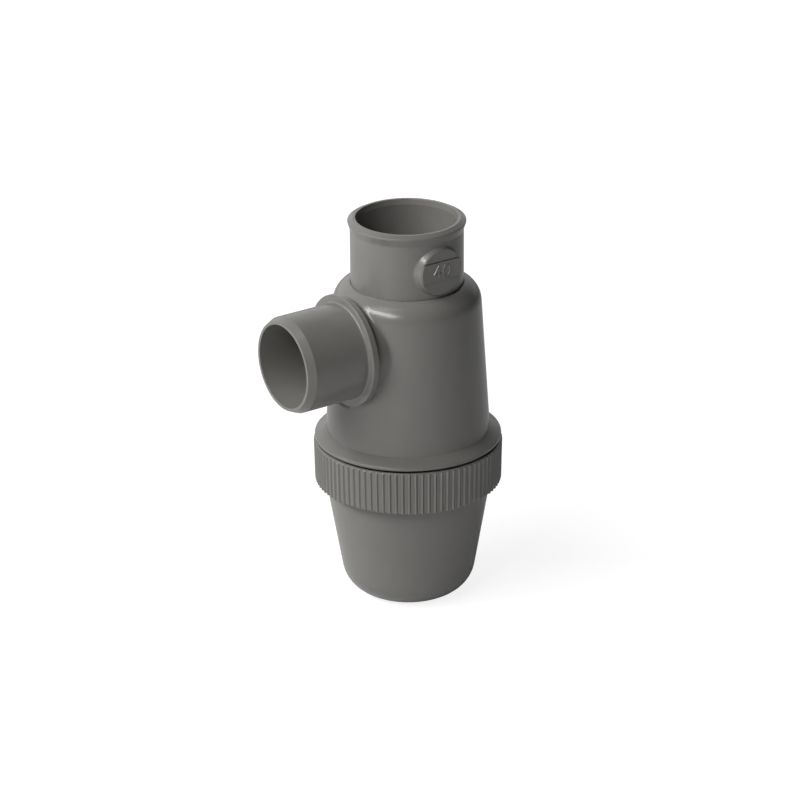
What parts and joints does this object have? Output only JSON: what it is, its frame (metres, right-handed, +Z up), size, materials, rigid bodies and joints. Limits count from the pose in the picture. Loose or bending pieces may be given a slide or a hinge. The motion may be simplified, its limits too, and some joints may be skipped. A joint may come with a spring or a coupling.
{
  "type": "basin trap",
  "caption": "Grey plastic bottle trap for a basin: socket on top, side outlet spigot and a screw-on cup with a ribbed collar that opens for cleaning.",
  "frame": {"origin": "centre of the flat foot under the cup, on the axis of the inlet", "axes": "+Z up along the inlet socket, -X along the side outlet, -Y the way the round pad on the inlet tube faces"},
  "size_m": [0.0998, 0.0782, 0.1653],
  "materials": {
    "grey_plastic": "moulded rigid plastic with a low sheen",
    "black_rubber": "matt"
  },
  "bodies": {
    "trap": {"trap_body": "grey_plastic", "inlet_tube": "grey_plastic", "outlet_spigot": "grey_plastic"},
    "gasket": {"cup_gasket": "black_rubber"},
    "cup": {"cup": "grey_plastic"}
  },
  "joints": [
    {"name": "cup_travel", "type": "slide", "parent": "trap", "child": "gasket", "axis": [0, 0, 1], "range_m": [-0.012, 0]},
    {"name": "cup_turn", "type": "hinge", "parent": "gasket", "child": "cup", "pos_m": [0, 0, 0.06], "axis": [0, 0, 1], "range_deg": [-1080, 0]}
  ],
  "couplings": [
    {"joint": "cup_travel", "follows": "cup_turn", "m_per_rad": 0.00063662}
  ]
}
